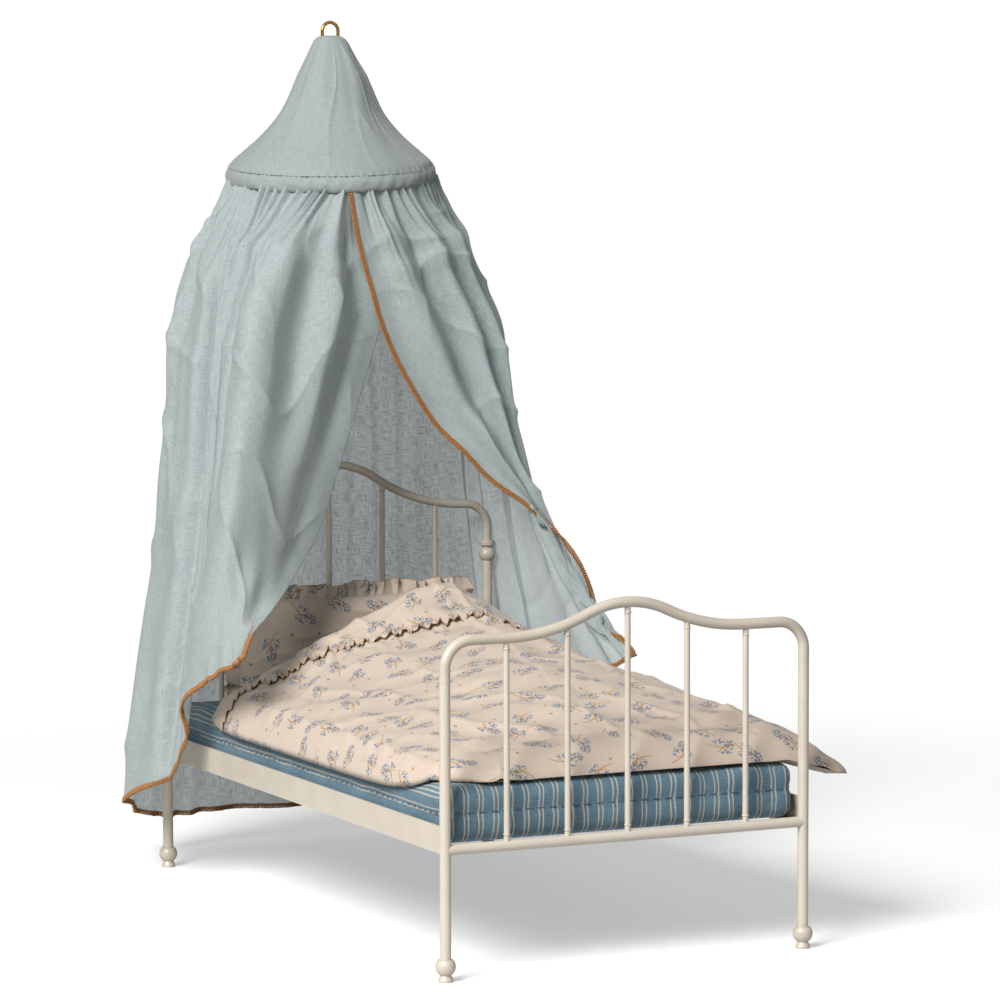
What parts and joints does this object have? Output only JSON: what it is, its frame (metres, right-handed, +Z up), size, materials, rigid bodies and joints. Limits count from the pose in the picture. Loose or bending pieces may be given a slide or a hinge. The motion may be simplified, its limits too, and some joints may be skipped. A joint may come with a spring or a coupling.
{
  "type": "miniature four poster bed",
  "caption": "Doll's size tube metal bed with arched ends, mattress, pillow and plump duvet, under a hanging cone canopy with draped curtains.",
  "frame": {"origin": "on the floor, midway along the whole object's length and width", "axes": "+Z up; -Y towards the foot of the bed, +Y towards the head, where the canopy hangs; +X to the right seen from the foot"},
  "size_m": [0.2768, 0.4451, 0.4764],
  "materials": {
    "frame_paint": "satin cream paint over welded steel tube",
    "mattress_ticking": "striped cotton ticking",
    "printed_cotton": "cotton poplin with a small printed sprig",
    "canopy_linen": "thin plain weave linen",
    "crochet_trim": "crocheted cotton edging",
    "loop_brass": "polished brass wire",
    "hoop_wire": "drawn steel wire"
  },
  "bodies": {
    "bed": {"foot_post_left": "frame_paint", "foot_post_right": "frame_paint", "foot_glide_left": "frame_paint", "foot_glide_right": "frame_paint", "foot_arch": "frame_paint", "foot_cross_rail": "frame_paint", "foot_spindle_1": "frame_paint", "foot_spindle_2": "frame_paint", "foot_spindle_3": "frame_paint", "foot_spindle_4": "frame_paint", "foot_spindle_5": "frame_paint", "head_post_left": "frame_paint", "head_post_right": "frame_paint", "head_glide_left": "frame_paint", "head_glide_right": "frame_paint", "head_arch": "frame_paint", "head_cross_rail": "frame_paint", "head_spindle_1": "frame_paint", "head_spindle_2": "frame_paint", "head_spindle_3": "frame_paint", "head_spindle_4": "frame_paint", "head_spindle_5": "frame_paint", "head_knob_left": "frame_paint", "head_knob_right": "frame_paint", "side_rail_left": "frame_paint", "side_rail_right": "frame_paint", "bed_slat_1": "frame_paint", "bed_slat_2": "frame_paint", "bed_slat_3": "frame_paint", "bed_slat_4": "frame_paint", "bed_slat_5": "frame_paint", "bed_slat_6": "frame_paint", "bed_slat_7": "frame_paint", "bed_slat_8": "frame_paint", "bed_slat_9": "frame_paint"},
    "mattress": {"mattress": "mattress_ticking"},
    "pillow": {"pillow": "printed_cotton"},
    "duvet": {"duvet": "printed_cotton"},
    "canopy": {"canopy_cap": "canopy_linen", "canopy_cone": "canopy_linen", "canopy_hoop": "hoop_wire", "canopy_rim_band": "canopy_linen", "curtain_left": "canopy_linen", "curtain_back": "canopy_linen", "curtain_right": "canopy_linen", "hanging_loop": "loop_brass"}
  },
  "joints": [
    {"name": "mattress_lift", "type": "slide", "parent": "bed", "child": "mattress", "axis": [0, 0, 1], "range_m": [0, 0.006]},
    {"name": "pillow_lift", "type": "slide", "parent": "mattress", "child": "pillow", "axis": [0, 0, 1], "range_m": [0, 0.02]},
    {"name": "duvet_lift", "type": "slide", "parent": "mattress", "child": "duvet", "axis": [0, 0, 1], "range_m": [0, 0.01]},
    {"name": "canopy_raise", "type": "slide", "parent": "bed", "child": "canopy", "axis": [0, 0, 1], "range_m": [0, 0.25]}
  ]
}
